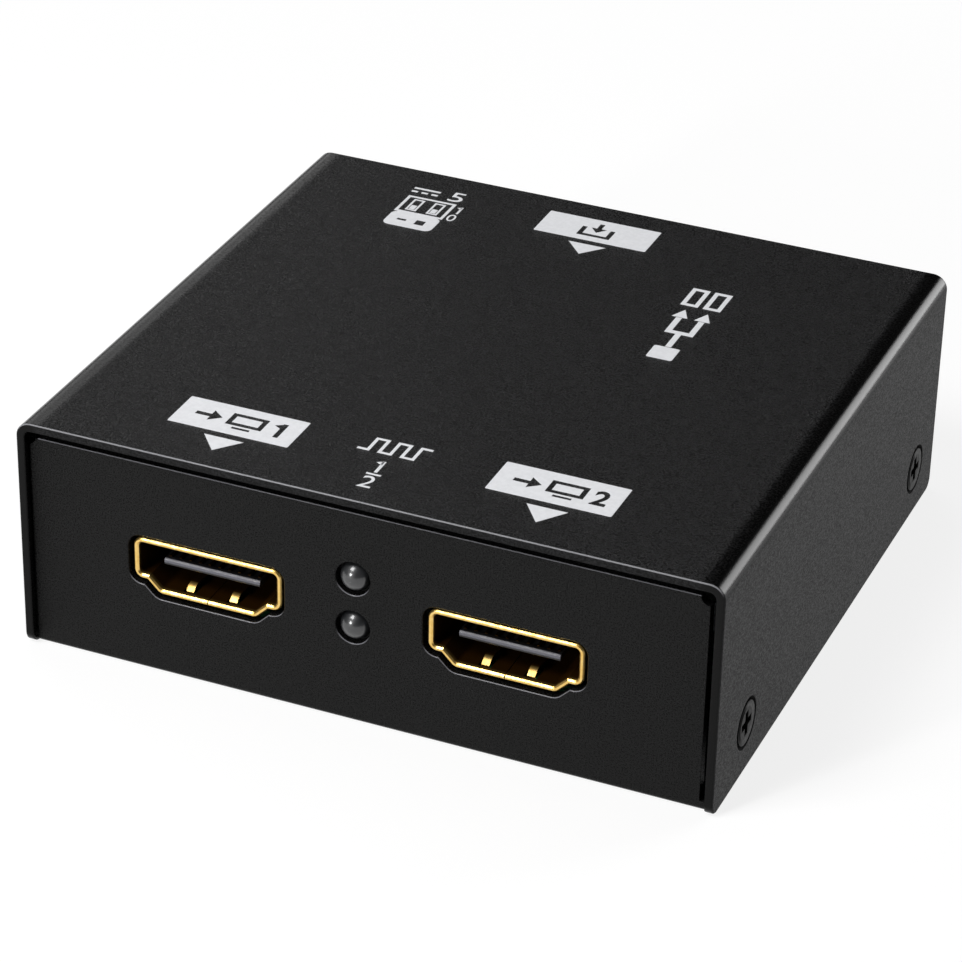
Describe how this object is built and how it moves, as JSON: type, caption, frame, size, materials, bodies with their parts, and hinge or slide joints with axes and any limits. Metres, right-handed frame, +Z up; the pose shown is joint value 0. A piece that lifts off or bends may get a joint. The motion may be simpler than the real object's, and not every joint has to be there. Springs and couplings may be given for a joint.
{
  "type": "video signal splitter box",
  "caption": "Small black folded-metal box that copies a digital video signal to several outputs, with gold-lined ports, domed link lamps, a power inlet and a setting switch.",
  "frame": {"origin": "middle of the case's underside, on the surface it stands on", "axes": "+X to the right along the front as seen from the front, the front with the outputs faces -Y, +Z up"},
  "size_m": [0.0684, 0.0646, 0.0238],
  "materials": {
    "cover_powder_coat": "fine-grained black powder coat on folded steel",
    "chassis_powder_coat": "smooth black powder coat on folded steel",
    "black_oxide_screw": "blackened steel screw",
    "bright_steel": "zinc-plated steel",
    "gold_plate": "gold-plated formed shell",
    "contact_gold": "gold-plated contact",
    "port_moulding": "black moulded insulator with a worn grey nose",
    "black_moulding": "black moulded plastic",
    "smoked_lens": "dark smoked epoxy lamp",
    "tinned_wire": "tinned metal",
    "nickel_pin": "nickel-plated brass pin",
    "white_slider": "white moulded slider",
    "board_laminate": "green solder mask on glass laminate",
    "chip_epoxy": "black moulded chip package",
    "drawn_can": "drawn metal can",
    "ceramic": "fired ceramic with tinned ends",
    "ferrite": "ground dark ferrite"
  },
  "bodies": {
    "case": {"base_chassis": "chassis_powder_coat", "board_screws": "bright_steel", "chip_capacitors": "ceramic", "cover_screws": "black_oxide_screw", "crystal_can": "drawn_can", "link_lamp_1": "smoked_lens", "link_lamp_2": "smoked_lens", "link_lamp_holder": "black_moulding", "link_lamp_leads": "tinned_wire", "main_board": "board_laminate", "memory_chip": "chip_epoxy", "power_inductor": "ferrite", "power_inlet_housing": "black_moulding", "power_inlet_pin": "nickel_pin", "power_inlet_terminals": "tinned_wire", "splitter_chip": "chip_epoxy", "standoffs": "bright_steel", "supply_capacitor": "drawn_can", "switch_base": "black_moulding", "switch_cover": "black_moulding", "switch_terminals": "tinned_wire", "top_cover": "cover_powder_coat", "video_in_contacts": "contact_gold", "video_in_insulator": "port_moulding", "video_in_shell": "gold_plate", "video_out_1_contacts": "contact_gold", "video_out_1_insulator": "port_moulding", "video_out_1_shell": "gold_plate", "video_out_2_contacts": "contact_gold", "video_out_2_insulator": "port_moulding", "video_out_2_shell": "gold_plate", "voltage_regulator": "chip_epoxy"},
    "setting_slider_1": {"switch_slider_1": "white_slider"},
    "setting_slider_2": {"switch_slider_2": "white_slider"}
  },
  "joints": [
    {"name": "setting_slider_1_slide", "type": "slide", "parent": "case", "child": "setting_slider_1", "axis": [0, 0, 1], "range_m": [0, 0.0014]},
    {"name": "setting_slider_2_slide", "type": "slide", "parent": "case", "child": "setting_slider_2", "axis": [0, 0, 1], "range_m": [0, 0.0014]}
  ]
}
